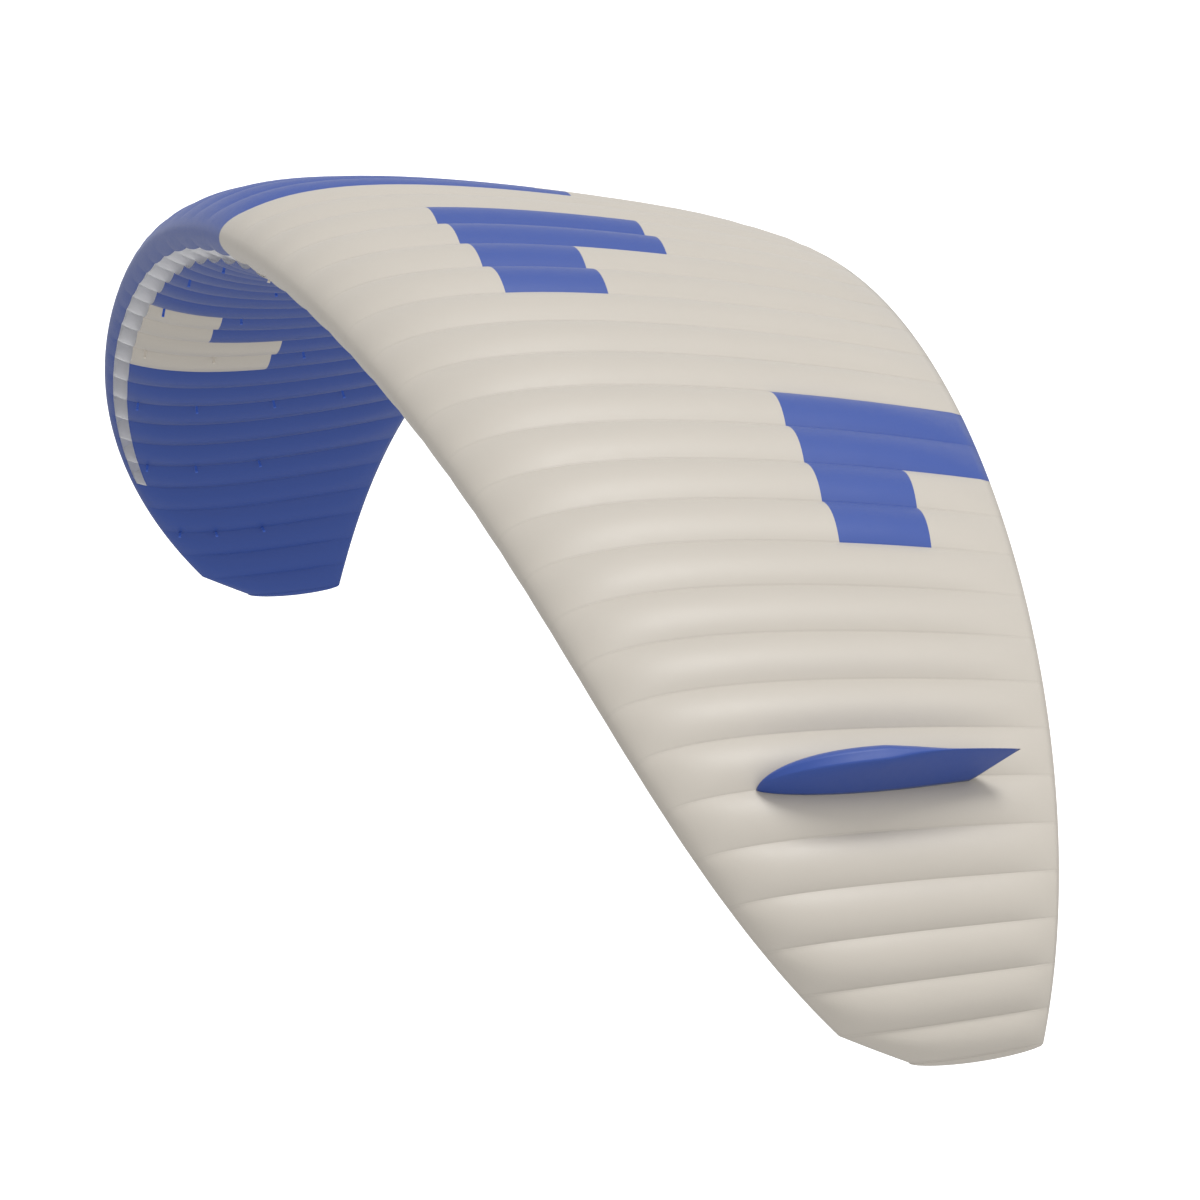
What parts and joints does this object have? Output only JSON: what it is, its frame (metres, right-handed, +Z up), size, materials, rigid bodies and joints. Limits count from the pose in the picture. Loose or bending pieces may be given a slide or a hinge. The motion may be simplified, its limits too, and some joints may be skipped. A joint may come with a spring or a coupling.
{
  "type": "ram-air kite",
  "caption": "Arched ram-air cloth wing with cells fed through nose intakes, pull-down brake flaps, fold-in tips, winglets and tape loops for its lines.",
  "frame": {"origin": "middle of the eye of the front line loop on the centre rib", "axes": "+X spanwise towards the left wing tip, +Y aft along the centre chord, +Z up"},
  "size_m": [10.0304, 2.471, 2.5913],
  "materials": {
    "cream_cloth": "coated ripstop nylon, satin",
    "blue_cloth": "coated ripstop nylon, satin",
    "inner_cloth": "white stiffened ripstop nylon",
    "edge_tape": "woven tape",
    "loop_tape": "woven line loop tape",
    "batten_plastic": "drawn nylon"
  },
  "bodies": {
    "wing": {"a_line_loops": "loop_tape", "b_line_loops": "loop_tape", "c_line_loops": "loop_tape", "centre_rib": "inner_cloth", "d_line_loops": "loop_tape", "diagonal_ribs_left": "inner_cloth", "diagonal_ribs_right": "inner_cloth", "edge_tape_left": "edge_tape", "edge_tape_right": "edge_tape", "lower_sail_inner_left": "cream_cloth", "lower_sail_inner_right": "blue_cloth", "lower_sail_middle_left": "cream_cloth", "lower_sail_middle_right": "blue_cloth", "lower_sail_outer_left": "cream_cloth", "lower_sail_outer_right": "blue_cloth", "main_ribs_left": "inner_cloth", "main_ribs_right": "inner_cloth", "nose_battens_left": "batten_plastic", "nose_battens_right": "batten_plastic", "nose_panel_left": "cream_cloth", "nose_panel_right": "blue_cloth", "span_straps_left": "inner_cloth", "span_straps_right": "inner_cloth", "upper_sail_inner_left": "cream_cloth", "upper_sail_inner_right": "blue_cloth", "upper_sail_middle_left": "cream_cloth", "upper_sail_middle_right": "blue_cloth", "upper_sail_outer_left": "cream_cloth", "upper_sail_outer_right": "blue_cloth"},
    "left_brake_flap": {"brake_edge_tape_left": "edge_tape", "brake_line_loops_left": "loop_tape", "brake_lower_sail_left": "cream_cloth", "brake_ribs_left": "inner_cloth", "brake_upper_sail_left": "cream_cloth"},
    "right_brake_flap": {"brake_edge_tape_right": "edge_tape", "brake_line_loops_right": "loop_tape", "brake_lower_sail_right": "blue_cloth", "brake_ribs_right": "inner_cloth", "brake_upper_sail_right": "blue_cloth"},
    "left_wing_tip": {"tip_battens_left": "batten_plastic", "tip_edge_tape_left": "edge_tape", "tip_line_loops_left": "loop_tape", "tip_lower_sail_left": "cream_cloth", "tip_nose_panel_left": "cream_cloth", "tip_ribs_left": "inner_cloth", "tip_upper_sail_left": "cream_cloth", "winglet_inner_side_left": "blue_cloth", "winglet_outer_side_left": "blue_cloth", "winglet_rib_left": "batten_plastic"},
    "right_wing_tip": {"tip_battens_right": "batten_plastic", "tip_edge_tape_right": "edge_tape", "tip_line_loops_right": "loop_tape", "tip_lower_sail_right": "blue_cloth", "tip_nose_panel_right": "blue_cloth", "tip_ribs_right": "inner_cloth", "tip_upper_sail_right": "blue_cloth", "winglet_inner_side_right": "blue_cloth", "winglet_outer_side_right": "blue_cloth", "winglet_rib_right": "batten_plastic"}
  },
  "joints": [
    {"name": "left_brake", "type": "hinge", "parent": "wing", "child": "left_brake_flap", "pos_m": [2.42457, 1.60747, -0.50007], "axis": [-0.957, 0.1024, 0.2713], "range_deg": [0, 35], "stiffness_Nm_per_rad": 200},
    {"name": "right_brake", "type": "hinge", "parent": "wing", "child": "right_brake_flap", "pos_m": [-2.42457, 1.60747, -0.50007], "axis": [-0.957, -0.1024, -0.2713], "range_deg": [0, 35], "stiffness_Nm_per_rad": 200},
    {"name": "left_tip_fold", "type": "hinge", "parent": "wing", "child": "left_wing_tip", "pos_m": [4.17894, 0.9009, -1.21278], "axis": [-0.0311, 0.9987, -0.0393], "range_deg": [0, 60], "stiffness_Nm_per_rad": 400},
    {"name": "right_tip_fold", "type": "hinge", "parent": "wing", "child": "right_wing_tip", "pos_m": [-4.17894, 0.9009, -1.21278], "axis": [-0.0311, -0.9987, 0.0393], "range_deg": [0, 60], "stiffness_Nm_per_rad": 400}
  ]
}
